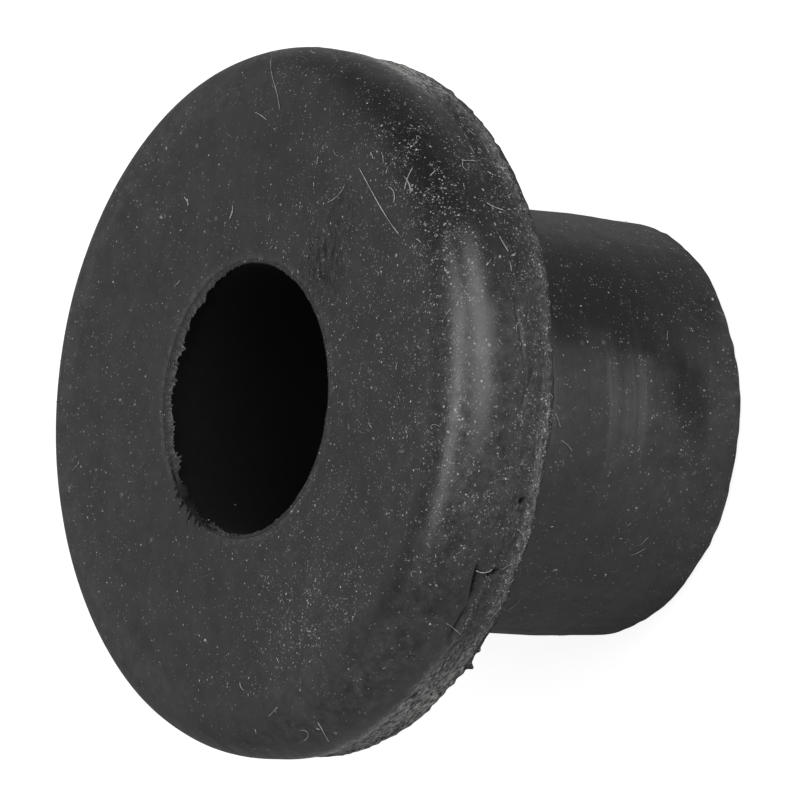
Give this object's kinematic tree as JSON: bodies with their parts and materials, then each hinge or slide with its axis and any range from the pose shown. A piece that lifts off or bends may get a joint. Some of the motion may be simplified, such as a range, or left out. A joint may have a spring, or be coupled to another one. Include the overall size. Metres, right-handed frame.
{
  "type": "rubber foot",
  "caption": "Round moulded rubber foot: a flat flange with a full rounded edge on a plain push-in stem, with a bore right through.",
  "frame": {"origin": "centre of the stem's end face, on the axis, where the foot stands", "axes": "+Z along the axis from the stem's end to the flange's flat face; X and Y are radial"},
  "size_m": [0.02, 0.02, 0.0132],
  "materials": {
    "black_rubber": "matt black moulded rubber, dusty, with fine mould marks"
  },
  "bodies": {
    "root": {"rubber_foot": "black_rubber"}
  },
  "joints": []
}
